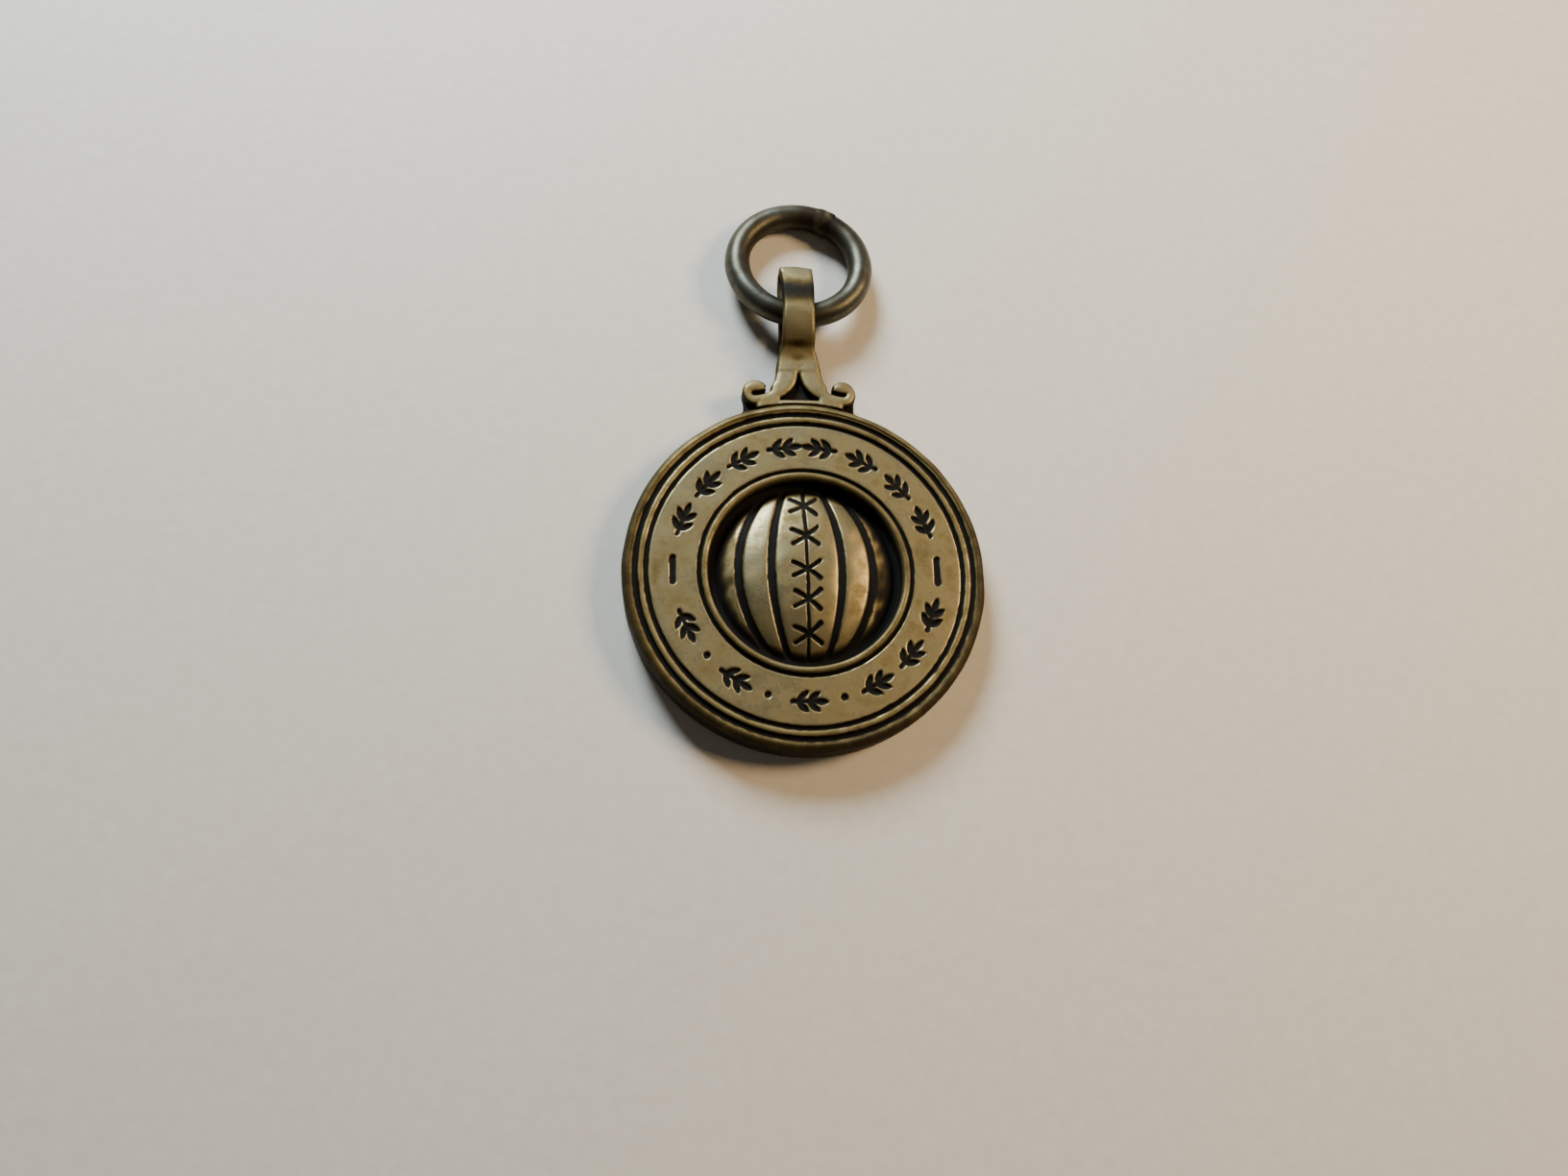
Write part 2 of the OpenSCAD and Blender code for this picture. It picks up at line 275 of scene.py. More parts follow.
def toned_metal(name, colors, shine, grain=1.0):
    """Toned metal: bright where worn or under a painted highlight, brown where handled, near black in the
    recesses and darker under painted shade.

    The mesh carries two attributes: one for patina and painted shade, from 0 on open surfaces to 1 in the
    recesses and in painted shade, and one for wear and painted highlights, which is high on edges that
    stand proud and on painted highlights. Shine is the roughness where bright and where dark.
    """
    material, tree, shader = new_material(name)
    patina_and_shade = add(tree, "ShaderNodeAttribute", attribute_name="patina_and_shade").outputs["Fac"]
    wear_and_highlight = add(tree, "ShaderNodeAttribute", attribute_name="wear_and_highlight").outputs["Fac"]
    clouds = noise(tree, 0.22, 5, 0.62)
    blotches = noise(tree, 0.75, 4, 0.6)
    fine = noise(tree, 5.0, 3, 0.6)
    dirt_and_shade = patina_and_shade
    for unevenness, amount in ((clouds, 0.55), (blotches, 0.5), (fine, 0.16)):
        centred = math_node(tree, "MULTIPLY_ADD", unevenness, amount, -amount / 2)
        dirt_and_shade = math_node(tree, "ADD", dirt_and_shade, centred)
    dirt_and_shade = math_node(tree, "SUBTRACT", dirt_and_shade, wear_and_highlight, clamp=True)
    tree.links.new(ramp(tree, dirt_and_shade, colors), shader.inputs["Base Color"])
    metallic = grey_ramp(tree, dirt_and_shade, [(0.0, 0.9), (0.4, 0.75), (0.8, 0.2)])
    tree.links.new(metallic, shader.inputs["Metallic"])
    shader.inputs["Specular IOR Level"].default_value = 0.15
    low, high = shine
    matte = low * 0.3 + high * 0.7
    sheen = grey_ramp(tree, dirt_and_shade, [(0.0, low), (0.14, matte), (1.0, high)])
    tree.links.new(math_node(tree, "MULTIPLY_ADD", fine, 0.12, sheen), shader.inputs["Roughness"])
    bump = add(tree, "ShaderNodeBump", Strength=0.35 * grain, Distance=0.02 * MM)
    tree.links.new(math_node(tree, "ADD", fine, blotches), bump.inputs["Height"])
    tree.links.new(bump.outputs["Normal"], shader.inputs["Normal"])
    return material


def paper_material():
    material, tree, shader = new_material("pale_paper")
    mottle = noise(tree, 0.9, 4)
    tree.links.new(ramp(tree, mottle, [(0.3, srgb(222, 214, 198)), (0.7, srgb(229, 222, 206))]),
                   shader.inputs["Base Color"])
    shader.inputs["Roughness"].default_value = 0.9
    shader.inputs["Specular IOR Level"].default_value = 0.2
    bump = add(tree, "ShaderNodeBump", Strength=0.25, Distance=0.05 * MM)
    tree.links.new(mottle, bump.inputs["Height"])
    tree.links.new(bump.outputs["Normal"], shader.inputs["Normal"])
    return material


# ---------------------------------------------------------------- mesh and shape helpers

def make_piece(name, points, faces, material, body, node, patina_and_shade, wear_and_highlight=None):
    """A smooth mesh piece from points in millimetres, which rides on a body and stands for a CAD node."""
    mesh = bpy.data.meshes.new(name)
    mesh.from_pydata((points * MM).tolist(), [], faces)
    mesh.validate()
    mesh.polygons.foreach_set("use_smooth", [True] * len(mesh.polygons))
    wear_and_highlight = np.zeros(len(points)) if wear_and_highlight is None else wear_and_highlight
    for key, values in (("patina_and_shade", patina_and_shade), ("wear_and_highlight", wear_and_highlight)):
        mesh.attributes.new(key, "FLOAT", "POINT").data.foreach_set("value", values.astype(np.float32))
    mesh.materials.append(material)
    mesh.update()
    piece = bpy.data.objects.new(name, mesh)
    bpy.context.collection.objects.link(piece)
    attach(piece, body)
    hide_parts(node)


def smooth_min(a, b, k):
    h = np.clip(0.5 + 0.5 * (b - a) / k, 0, 1)
    return b * (1 - h) + a * h - k * h * (1 - h)


def smooth_max(a, b, k):
    return -smooth_min(-a, -b, k)


def fade(d, soft):
    """1 inside a shape with signed distance d, 0 outside, with a soft edge."""
    h = np.clip(0.5 - d / (2 * soft), 0, 1)
    return h * h * (3 - 2 * h)


def bell(d, width):
    """1 where d is 0, falling off smoothly to both sides."""
    return np.exp(-(d / width) ** 2)


def bar(x, y, half_length, half_width):
    """Signed distance to a bar with round ends, centred on the origin along X."""
    return np.hypot(np.maximum(np.abs(x) - half_length + half_width, 0), y) - half_width


def leaf(x, y, length, width):
    """Signed distance to a pointed oval from the origin along X."""
    r = (length ** 2 + width ** 2) / (4 * width)
    px, py = np.abs(x - length / 2), np.abs(y)
    side = np.hypot(px, py + r - width / 2) - r
    tip = np.hypot(px - length / 2, py)
    past_tip = (px - length / 2) * (r - width / 2) > py * length / 2
    return np.where(past_tip, tip, side)


def turned(x, y, angle):
    """A place as seen in axes that are turned by an angle."""
    c, s = math.cos(angle), math.sin(angle)
    return x * c + y * s, y * c - x * s


def round_steps(count):
    """Angles of evenly spaced points round a circle."""
    return 2 * math.pi * np.arange(count) / count


def polygon(x, y, corners):
    """Signed distance to a closed polygon, negative inside."""
    best = np.full(x.shape, np.inf)
    inside = np.zeros(x.shape, bool)
    for (ax, ay), (bx, by) in zip(corners, corners[1:] + corners[:1]):
        ex, ey, wx, wy = bx - ax, by - ay, x - ax, y - ay
        t = np.clip((wx * ex + wy * ey) / (ex * ex + ey * ey), 0, 1)
        best = np.minimum(best, np.hypot(wx - ex * t, wy - ey * t))
        crosses = ((y >= ay) != (y >= by)) & ((x - ax) * (by - ay) < (y - ay) * ex) == (by > ay)
        inside ^= ((y >= ay) != (y >= by)) & crosses
    return np.where(inside, -best, best)


def waves(x, y, z, seed, size, count=14):
    """Smooth seeded unevenness with features of about size, between about -1 and 1."""
    rng = np.random.default_rng(seed)
    total = np.zeros(np.broadcast(x, y, z).shape)
    for _ in range(count):
        way = rng.normal(size=3)
        way *= 2 * math.pi / size / np.linalg.norm(way) * rng.uniform(0.6, 1.4)
        total += np.sin(x * way[0] + y * way[1] + z * way[2] + rng.uniform(0, 2 * math.pi))
    return total / math.sqrt(count)


# ---------------------------------------------------------------- the disc

def band_marks(x, y):
    """Signed distance to the engraved sprigs, dots and dashes of the flat band."""
    best = np.full(x.shape, np.inf)
    for angle, side in TOP_SPRIGS + LOW_SPRIGS:
        u, v = turned(x, y, math.radians(angle))
        u, v = turned(u - BAND_MID, v, side * math.pi / 2)
        near = np.hypot(u, v) < SPRIG_REACH
        un, vn = u[near], v[near]
        d = bar(un - STEM_X, vn, STEM_HALF_L, STEM_HALF_W)
        d = np.minimum(d, leaf(un - TIP_LEAF_X, vn, LEAF_L, LEAF_W))
        for start, lean in LEAF_PAIRS:
            for hand in (-1, 1):
                a, b = turned(un - start, vn, math.radians(hand * lean))
                d = np.minimum(d, leaf(a, b, LEAF_L, LEAF_W))
        best[near] = np.minimum(best[near], d)
    for angle in DOTS:
        u, v = turned(x, y, math.radians(angle))
        best = np.minimum(best, np.hypot(u - BAND_MID, v) - DOT_R)
    return np.minimum(best, bar(y, np.abs(x) - BAND_MID, DASH_HALF_L, DASH_HALF_W))


def seam_marks(x, y):
    """Signed distance to the panel seams, which narrow towards the ball's poles."""
    best = np.full(x.shape, np.inf)
    for at, radius in SEAMS:
        best = np.minimum(best, np.abs(np.hypot(np.abs(x) - at + radius, y) - radius))
    half_width = 0.29 - 0.12 * np.clip(np.abs(y) / BALL_R, 0, 1) ** 2
    return best - half_width


def stitch_marks(x, y):
    """Signed distance to the laced seam and its crossed stitches."""
    best = np.abs(x + 0.02 * np.sin(1.7 * y)) - 0.1
    for number, at in enumerate(STITCH_Y):
        for side in (-1, 1):
            lean = STITCH_SLOPE + 0.06 * math.sin(2.3 * number + side)
            u, v = turned(x, y - at, side * lean)
            best = np.minimum(best, bar(u, v - 0.06 * side * u ** 2, 1.33, 0.14))
    return best


def ring_marks(r):
    """Signed distance to the three ring grooves of the face."""
    outer = np.abs(r - OUTER_GROOVE) - 0.17
    second = np.abs(r - SECOND_GROOVE) - 0.14
    return np.minimum(np.minimum(outer, second), np.abs(r - INNER_GROOVE) - 0.11)


def ball_marks(x, y):
    """Signed distance to every sunk line of the ball."""
    lines = np.minimum(seam_marks(x, y), stitch_marks(x, y))
    return np.maximum(lines, np.hypot(x, y) - BALL_R)


def face_height(x, y):
    """Height of the obverse inside the rim."""
    r = np.hypot(x, y)
    seams = seam_marks(x, y)
    root = 0.1
    dome = WELL_FLOOR - root + (BALL_SAG + root) * np.maximum(1 - (r / BALL_R) ** 2.4, 0) ** 0.72
    crown = 0.06 * bell(seams + 0.2, 0.5)
    ball = dome - crown - SEAM_DEPTH * fade(seams, 0.09)
    ball = ball - STITCH_DEPTH * fade(np.maximum(stitch_marks(x, y), r - BALL_R), 0.07)
    ball = ball + 0.015 * waves(x, y, 0, 5, 2.2)
    inner = smooth_max(ball, WELL_FLOOR + 0 * r, 0.2)
    band = BAND_Z - ENGRAVE_DEPTH * fade(band_marks(x, y), 0.07)
    band = band + 0.010 * waves(x, y, 0, 3, 3.0)
    wall = fade(WELL_R + 0.02 - r, 0.14)
    z = inner * (1 - wall) + band * wall
    ridge = BAND_Z - 0.135 + np.sqrt(np.maximum(WELL_RIDGE_R ** 2 - (r - WELL_RIDGE) ** 2, 0))
    z = np.where(np.abs(r - WELL_RIDGE) < WELL_RIDGE_R, smooth_max(z, ridge, 0.06), z)
    z = z + 0.06 * bell(r - THIN_RIDGE, 0.17)
    return z - GROOVE_DEPTH * fade(ring_marks(r), 0.08)


def rim_profile():
    """Points (r, z) of the section from the outer groove over the edge to the back's middle."""
    points = []
    arc_r, arc_z = DISC_R - RIM_ROUND, RIM_Z - RIM_ROUND
    for angle in np.radians(np.arange(88, -1, -11)):
        points.append((arc_r + RIM_ROUND * math.cos(angle), arc_z + RIM_ROUND * math.sin(angle)))
    for z in np.linspace(arc_z, BACK_ROUND, 7)[1:]:
        points.append((DISC_R, z))
    for angle in np.radians(np.arange(-18, -91, -18)):
        points.append((DISC_R - BACK_ROUND * (1 - math.cos(angle)), BACK_ROUND * (1 + math.sin(angle))))
    for r in (13.2, 12.95, 12.86, 12.78, 12.7, 12.62, 12.54, 12.45, 12.2):
        points.append((r, 0.12 * bell(r - BORDER_GROOVE, 0.1)))
    for r in (11, 9.5, 8, 6.5, 5, 3.5, 2, 0.8):
        points.append((r, 0.0))
    return points


def ring_counts():
    """Radius and number of points of each ring of the obverse's mesh, from the middle outwards."""
    coarse, middling, dense = 216, 432, 864
    spans = [(0.1, 3.4, 0.1, coarse), (3.4, 6.5, 0.09, middling), (6.5, 8.56, 0.075, middling),
             (8.56, 12.0, 0.095, dense), (12.0, 13.42, 0.062, middling)]
    rings = []
    for start, end, step, count in spans:
        steps = round((end - start) / step)
        rings += [(start + (end - start) * i / steps, count) for i in range(steps)]
    return rings + [(end, count)]


def bridge(faces, a, na, b, nb):
    """Joins ring a of na points to ring b of nb points, where one count is the other or twice it."""
    if na == nb:
        faces += [(a + j, b + j, b + (j + 1) % nb, a + (j + 1) % na) for j in range(na)]
    elif nb == 2 * na:
        for j in range(na):
            p, q = a + j, a + (j + 1) % na
            f0, f1, f2 = b + 2 * j, b + 2 * j + 1, b + (2 * j + 2) % nb
            faces += [(p, f0, f1), (p, f1, q), (q, f1, f2)]
    else:
        for j in range(nb):
            p, q = b + j, b + (j + 1) % nb
            f0, f1, f2 = a + 2 * j, a + 2 * j + 1, a + (2 * j + 2) % na
            faces += [(f1, f0, p), (q, f1, p), (f2, f1, q)]


def blurred(grid, step, sigma):
    """Gaussian blur of a square grid, by its Fourier transform."""
    freq = np.fft.fftfreq(grid.shape[0], step)
    gain = np.exp(-2 * (math.pi * sigma) ** 2 * (freq[:, None] ** 2 + freq[None, :] ** 2))
    return np.real(np.fft.ifft2(np.fft.fft2(grid) * gain))


def sample(grid, step, half, x, y):
    """Bilinear reading of a grid that spans -half to half."""
    u, v = (x + half) / step, (y + half) / step
    i, j = np.floor(u).astype(int), np.floor(v).astype(int)
    i, j = np.clip(i, 0, grid.shape[0] - 2), np.clip(j, 0, grid.shape[1] - 2)
    a, b = u - i, v - j
    low = grid[i, j] * (1 - a) + grid[i + 1, j] * a
    high = grid[i, j + 1] * (1 - a) + grid[i + 1, j + 1] * a
    return low * (1 - b) + high * b


def lower_rim_tone(y):
    """Extra darkening of the rim towards the bottom, which fades out towards the suspension."""
    return 0.24 * fade(y / 6 - 1.2, 0.8)


def obverse_tone(x, y, z):
    """Patina and painted shade, and rubbing on proud points, at points of the obverse, mostly from how far
    they lie below or above their surroundings.
    """
    half, step = 15.0, 0.06
    beside_disc = 1.6
    axis = np.arange(-half, half, step)
    gx, gy = np.meshgrid(axis, axis, indexing="ij")
    gr = np.hypot(gx, gy)
    height = face_height(gx, gy)
    edge = RIM_Z - RIM_ROUND + np.sqrt(np.maximum(RIM_ROUND ** 2 - (gr - DISC_R + RIM_ROUND) ** 2, 0))
    height = np.where(gr > DISC_R - RIM_ROUND, np.minimum(height, edge), height)
    height = np.where(gr > DISC_R, beside_disc, height)
    fine = sample(blurred(height, step, 0.22), step, half, x, y) - z
    wide = sample(blurred(height, step, 0.75), step, half, x, y) - z
    r = np.hypot(x, y)
    lines = np.minimum(np.minimum(band_marks(x, y), ring_marks(r)), ball_marks(x, y))
    uneven = 0.03 * waves(x, y, 0, 7, 0.7) + 0.03 * waves(x, y, 0, 8, 1.9)
    well = fade(r - WELL_R, 0.3) * np.clip((1.95 - z) / 0.4, 0, 1)
    # The narrow ridges are darkened, partly grime and partly painted shade for the dark surroundings their
    # curved tops mirror.
    ridges = 0.30 * bell(r - THIN_RIDGE, 0.25) + 0.36 * bell(r - WELL_RIDGE, 0.28)
    flanks = (0.22 + 0.2 * (x > 0)) * fade(5.3 - np.abs(x), 0.3) * (r < WELL_R)
    flanks = flanks * (1 + 0.7 * waves(x, y, 0, 9, 1.3))
    rim = (0.10 + lower_rim_tone(y)) * fade(OUTER_GROOVE + 0.2 - r, 0.1)
    patina_and_shade = 0.08 + np.clip(fine * 6, 0, 0.9) + np.clip(wide * 1.2, 0, 0.5) + 0.9 * well
    patina_and_shade = patina_and_shade + 0.8 * fade(lines - 0.02 + uneven, 0.09) + ridges + np.maximum(flanks, 0) + rim
    wear_and_highlight = np.clip(-fine * 3.0, 0, 0.25)
    return np.clip(patina_and_shade, 0, 1.15), wear_and_highlight


def make_disc():
    """Rings of points from the obverse's middle outwards, over the edge and in to the back's middle."""
    points = [np.array([[0, 0, 0.0]])]
    starts, counts = [0], [1]
    total = 1
    for r, count in ring_counts():
        a = round_steps(count)
        points.append(np.c_[r * np.cos(a), r * np.sin(a), 0 * a])
        starts.append(total)
        counts.append(count)
        total += count
    front = np.concatenate(points)
    front[:, 2] = face_height(front[:, 0], front[:, 1])
    patina_and_shade, wear_and_highlight = obverse_tone(*front.T)
    faces = [(0, 1 + j, 1 + (j + 1) % counts[1]) for j in range(counts[1])]
    for i in range(1, len(starts) - 1):
        bridge(faces, starts[i], counts[i], starts[i + 1], counts[i + 1])
    layers, tones, wears = [front], [patina_and_shade], [wear_and_highlight]
    last, last_count = starts[-1], counts[-1]
    edge_count, back_count = 432, 216
    for r, z in rim_profile():
        count = edge_count if r > DISC_R - 0.4 and z > 1.0 else back_count
        count = max(count, last_count // 2)
        a = round_steps(count)
        x, y = r * np.cos(a), r * np.sin(a)
        bruise = waves(x, y, z, 11, 3.5) * 0.02
        grow = 1 + bruise / DISC_R * (z > 0.05)
        layers.append(np.c_[x * grow, y * grow, z + 0 * a])
        # The rim's rounding and side wall are darkened, partly grime on the rounding and partly painted
        # shade where the wall turns away from the lamps.
        side = np.clip((RIM_Z + 0.05 - z) / 0.6, 0, 1)
        groove = bell(r - BORDER_GROOVE, 0.1) * (z < 0.2)
        shade = 0.22 + lower_rim_tone(y) * (z > 1)
        tones.append(shade + 0.34 * side * (z > 0.02) + 0.6 * groove)
        wears.append(0.12 * bell(z - RIM_Z + 0.2, 0.25) + 0 * a)
        bridge(faces, last, last_count, total, count)
        last, last_count, total = total, count, total + count
    layers.append(np.array([[0, 0, 0.0]]))
    tones.append(np.array([0.2]))
    wears.append(np.array([0.0]))
    faces += [(last + (j + 1) % last_count, last + j, total)[::-1] for j in range(last_count)]
    metal = toned_metal("struck_brass", BRASS_TONES, BRASS_SHINE)
    make_piece("disc_relief", np.concatenate(layers), faces, metal, "medal", "disc",
               np.concatenate(tones), np.concatenate(wears))


# ---------------------------------------------------------------- surfaces from signed distances

def surface_net(field, low, high, step):
    """Points and quads of the zero surface of field over a box, moved exactly on to it."""
    axes = [np.arange(a, b + step, step) for a, b in zip(low, high)]
    grid = np.meshgrid(*axes, indexing="ij")
    value = field(grid[0], grid[1], grid[2])
    shape = np.array(value.shape)
    count = np.zeros(shape - 1, int)
    place = np.zeros((*(shape - 1), 3))
    crossings = []
    for axis in range(3):
        ahead = [slice(None)] * 3
        here = [slice(None)] * 3
        ahead[axis], here[axis] = slice(1, None), slice(None, -1)
        a, b = value[tuple(here)], value[tuple(ahead)]
        cross = (a < 0) != (b < 0)
        share = np.where(cross, a / np.where(cross, a - b, 1), 0)
        crossings.append((cross, a < 0))
        at = np.stack(np.meshgrid(*[np.arange(n) for n in cross.shape], indexing="ij"), -1).astype(float)
        at[..., axis] += share
        others = [k for k in range(3) if k != axis]
        for da in (0, 1):
            for db in (0, 1):
                part = [slice(None)] * 3
                for k, d in zip(others, (da, db)):
                    part[k] = slice(d, cross.shape[k] - 1 + d)
                c = cross[tuple(part)]
                count += c
                place += at[tuple(part)] * c[..., None]
    live = count > 0
    index = np.full(count.shape, -1)
    index[live] = np.arange(live.sum())
    points = np.array(low) + step * place[live] / count[live][:, None]
    quads = []
    for axis, (cross, inside) in enumerate(crossings):
        b, c = [k for k in range(3) if k != axis]
        where = np.argwhere(cross)
        ok = (where[:, b] > 0) & (where[:, c] > 0)
        ok &= (where[:, b] < shape[b] - 1) & (where[:, c] < shape[c] - 1)
        where = where[ok]
        corner = []
        for db, dc in ((1, 1), (0, 1), (0, 0), (1, 0)):
            cell = where.copy()
            cell[:, b] -= db
            cell[:, c] -= dc
            corner.append(index[tuple(cell.T)])
        quad = np.stack(corner, 1)
        flip = inside[tuple(where.T)] == (axis == 1)
        quad[flip] = quad[flip][:, ::-1]
        quads.append(quad)
    for _ in range(3):
        normal, d = slope(field, points)
        points = points - normal * d[:, None]
    return points, np.concatenate(quads)


def slope(field, points, small=0.01):
    """Unit normal and signed distance at each point."""
    x, y, z = points.T
    d = field(x, y, z)
    grad = np.stack([
        field(x + small, y, z) - field(x - small, y, z),
        field(x, y + small, z) - field(x, y - small, z),
        field(x, y, z + small) - field(x, y, z - small)], 1)
    grad /= np.maximum(np.linalg.norm(grad, axis=1), 1e-9)[:, None]
    return grad, d


def openness(field, points, reach):
    """From 0 in a tight corner to 1 on an open surface."""
    normal, _ = slope(field, points)
    total = np.zeros(len(points))
    for distance in reach:
        away = points + normal * distance
        total += np.clip(field(*away.T) / distance, 0, 1)
    return total / len(reach)


# ---------------------------------------------------------------- the suspension

def strap_line():
    """Points [y, z] along the middle of the strap: neck, ramp, crest, fold, and down the back."""
    depth = STRAP_FRONT - STRAP_BACK
    rise = STRAP_FRONT - PLATE_FRONT
    ramp_angle = math.acos(1 - rise / (HOLLOW_R + CREST_R))
    lean = math.acos((SIDE_R - depth / 2) / (SIDE_R - FOLD_R))
    half = STRAP_T / 2
    start = EYE_Y - (HOLLOW_R + CREST_R) * math.sin(ramp_angle)
    steps = [("run", start - STRAP_Y), (HOLLOW_R + half, ramp_angle), (CREST_R - half, -ramp_angle),
             (SIDE_R - half, -lean), (FOLD_R - half, 2 * lean - math.pi), (SIDE_R - half, -lean),
             ("run", EYE_Y - TIP_Y - half)]
    y, z, heading = STRAP_Y, PLATE_FRONT - half, 0.0
    line = [(y, z)]
    for radius, turn in steps:
        if radius == "run":
            y, z = y + turn * math.cos(heading), z + turn * math.sin(heading)
            line.append((y, z))
            continue
        pieces = max(3, math.ceil(abs(turn) / 0.09))
        for _ in range(pieces):
            step, hand = turn / pieces, math.copysign(1, turn)
            y += hand * radius * (math.sin(heading + step) - math.sin(heading))
            z -= hand * radius * (math.cos(heading + step) - math.cos(heading))
            heading += step
            line.append((y, z))
    return line


STRAP_LINE = strap_line()


def to_line(y, z, line):
    """Distance to a line of straight stretches."""
    best = np.full(np.broadcast(y, z).shape, np.inf)
    for (ay, az), (by, bz) in zip(line, line[1:]):
        ey, ez = by - ay, bz - az
        t = np.clip(((y - ay) * ey + (z - az) * ez) / (ey * ey + ez * ez), 0, 1)
        best = np.minimum(best, np.hypot(y - ay - ey * t, z - az - ez * t))
    return best


def neck_plan(x, y):
    """Signed distance to the outline of the neck and the strap, seen from the front."""
    corners = [(-1, 13), (3.52, 13), (3.52, DISC_R + 0.55), (2.5, DISC_R + 1.2), (1.98, DISC_R + 2.1),
               (1.76, DISC_R + 3), (1.6, DISC_R + 4.2), (1.38, NECK_TOP), (STRAP_W / 2, EYE_Y),
               (1.4, 26), (-1, 26.5)]
    return polygon(np.abs(x), y, corners)


def scroll_plan(x, y):
    """Signed distance to the neck with its two curled feet, seen from the front."""
    ax = np.abs(x)
    legs = smooth_max(neck_plan(x, y), y - NECK_TOP, 0.1)
    knob = np.hypot(ax - CURL_X, y - CURL_Y) - CURL_R
    d = smooth_min(legs, knob, 0.15)
    u, v = turned(ax - CURL_X + 0.5, y - CURL_Y - 0.05, math.radians(-16))
    slot = bar(u, v - 0.18 * u * u + 0.05, 0.75, 0.13)
    hollow = np.hypot(ax - CURL_X + 1.03, y - CURL_Y - 0.45) - 0.24
    notch = smooth_min(slot, hollow, 0.12)
    leg_arc = np.hypot(ax - LEG_ARC_X, y - LEG_ARC_Y) - LEG_ARC_R
    crotch = np.maximum(-leg_arc, np.maximum(CROTCH_Y - y, y - CROTCH_TOP))
    crotch = np.maximum(crotch, ax - 1.5)
    d = smooth_max(d, -notch, 0.12)
    return smooth_max(d, -crotch, 0.12)


def slab(plan, z, low, high, edge):
    """A plan outline from one height to another, with its edges rounded."""
    return smooth_max(plan, np.abs(z - (low + high) / 2) - (high - low) / 2, edge)


def strip_shape(x, y, z):
    """Signed distance to the whole suspension."""
    dent = 0.02 * waves(x, y, z, 21, 2.6)
    plan = scroll_plan(x, y)
    crown = 0.10 * (1 - np.clip(-plan / 0.55, 0, 1)) ** 2
    scroll = slab(plan, z, PLATE_BACK, PLATE_FRONT - crown, 0.22)
    base_plan = smooth_min(
        np.maximum(np.abs(x) - BASE_X, np.maximum(y - BASE_Y, BLANK_Y - y)),
        np.maximum(np.abs(x) - BASE_NECK_X, np.maximum(y - BASE_NECK_Y, BLANK_Y - y)), 0.2)
    base = slab(base_plan, z, PLATE_BACK, PLATE_BACK + BASE_T, 0.16)
    d = smooth_min(scroll, base, 0.14)
    strap = smooth_max(to_line(y, z, STRAP_LINE) - STRAP_T / 2, neck_plan(x, y) + 0.02, 0.3)
    d = smooth_min(d, strap, 0.12)
    return np.maximum(d + dent, DISC_R + SOLDER_T - np.hypot(x, y))


def make_suspension():
    points, quads = surface_net(strip_shape, (-4.9, 13.0, -0.1), (4.9, 26.8, 4.5), NET_STEP)
    x, y, z = points.T
    normal, _ = slope(strip_shape, points)
    tight = 1 - openness(strip_shape, points, (0.25, 0.6, 1.2))
    front = z > 2
    # sides darkens faces that turn away from the front: painted shade on the side walls.
    sides = 1 - np.clip(normal[:, 2], 0, 1)
    recess = fade(z - PLATE_BACK - BASE_T - 0.1, 0.2) * (normal[:, 2] > -0.2) * (y < 17.2)
    crease = 0.5 * bell(y - 19.1, 0.25) * bell(x, 0.8) + 0.3 * bell(y - 18.05, 0.28) * bell(x, 0.65)
    # A painted dark reflection: a dark band across the strap's front below the fold, where the metal
    # mirrors dark surroundings above it.
    painted_dark_reflection = 0.8 * bell(y - EYE_Y - 1.2, 1.0)
    patina_and_shade = 0.06 + 0.7 * tight + 0.5 * sides + 0.75 * recess + (crease + painted_dark_reflection) * front
    # Painted light: the strap's front is lightened where it catches the lamps, and a painted highlight lies
    # over the top of the fold.
    wear_and_highlight = 0.2 * bell(y - EYE_Y + 1.4, 1.7) * (z > 3) + 0.3 * fade(EYE_Y + 3.3 - y, 0.25)
    metal = toned_metal("strip_brass", BRASS_TONES, BRASS_SHINE)
    make_piece("suspension_strip", points, quads.tolist(), metal, "medal", "suspension",
               np.clip(patina_and_shade, 0, 1.1), wear_and_highlight)


# ---------------------------------------------------------------- the jump ring and the solder

def tube(path, radii, sides, closed, up=(0, 0, 1)):
    """Points and faces of a round tube, closed or with capped ends. Its path never runs along up."""
    path = np.array(path)
    count = len(path)
    if closed:
        ahead, behind = np.roll(path, -1, 0), np.roll(path, 1, 0)
    else:
        ahead, behind = np.vstack([path[1:], path[-1:]]), np.vstack([path[:1], path[:-1]])
    along = ahead - behind
    along /= np.linalg.norm(along, axis=1)[:, None]
    across = np.cross(along, up)
    across /= np.maximum(np.linalg.norm(across, axis=1), 1e-9)[:, None]
    upward = np.cross(across, along)
    a = round_steps(sides)
    ring = np.cos(a)[None, :, None] * across[:, None] + np.sin(a)[None, :, None] * upward[:, None]
    points = (path[:, None] + ring * radii[..., None]).reshape(-1, 3)
    faces = []
    for i in range(count if closed else count - 1):
        n = (i + 1) % count
        faces += [(i * sides + j, n * sides + j, n * sides + (j + 1) % sides, i * sides + (j + 1) % sides)
                  for j in range(sides)]
    if not closed:
        faces.append(tuple(range(sides)))
        faces.append(tuple((count - 1) * sides + j for j in range(sides))[::-1])
    return points, faces


def hang(points):
    """Moves a ring drawn flat round the origin to its place in the eye, a little out of round and askew."""
    x, y, z = ((points + (0, RING_R, 0)) * (1, OUT_OF_ROUND, 1)).T
    x, y = turned(x, y, -RING_SLEW)
    y, z = turned(y, z, RING_LEAN)
    return np.c_[x, y + EYE_Y, z + EYE_Z]


def ring_path(angles):
    """Points along the middle of the ring's wire, drawn flat round the origin."""
    return np.c_[RING_R * np.cos(angles), RING_R * np.sin(angles), 0 * angles]


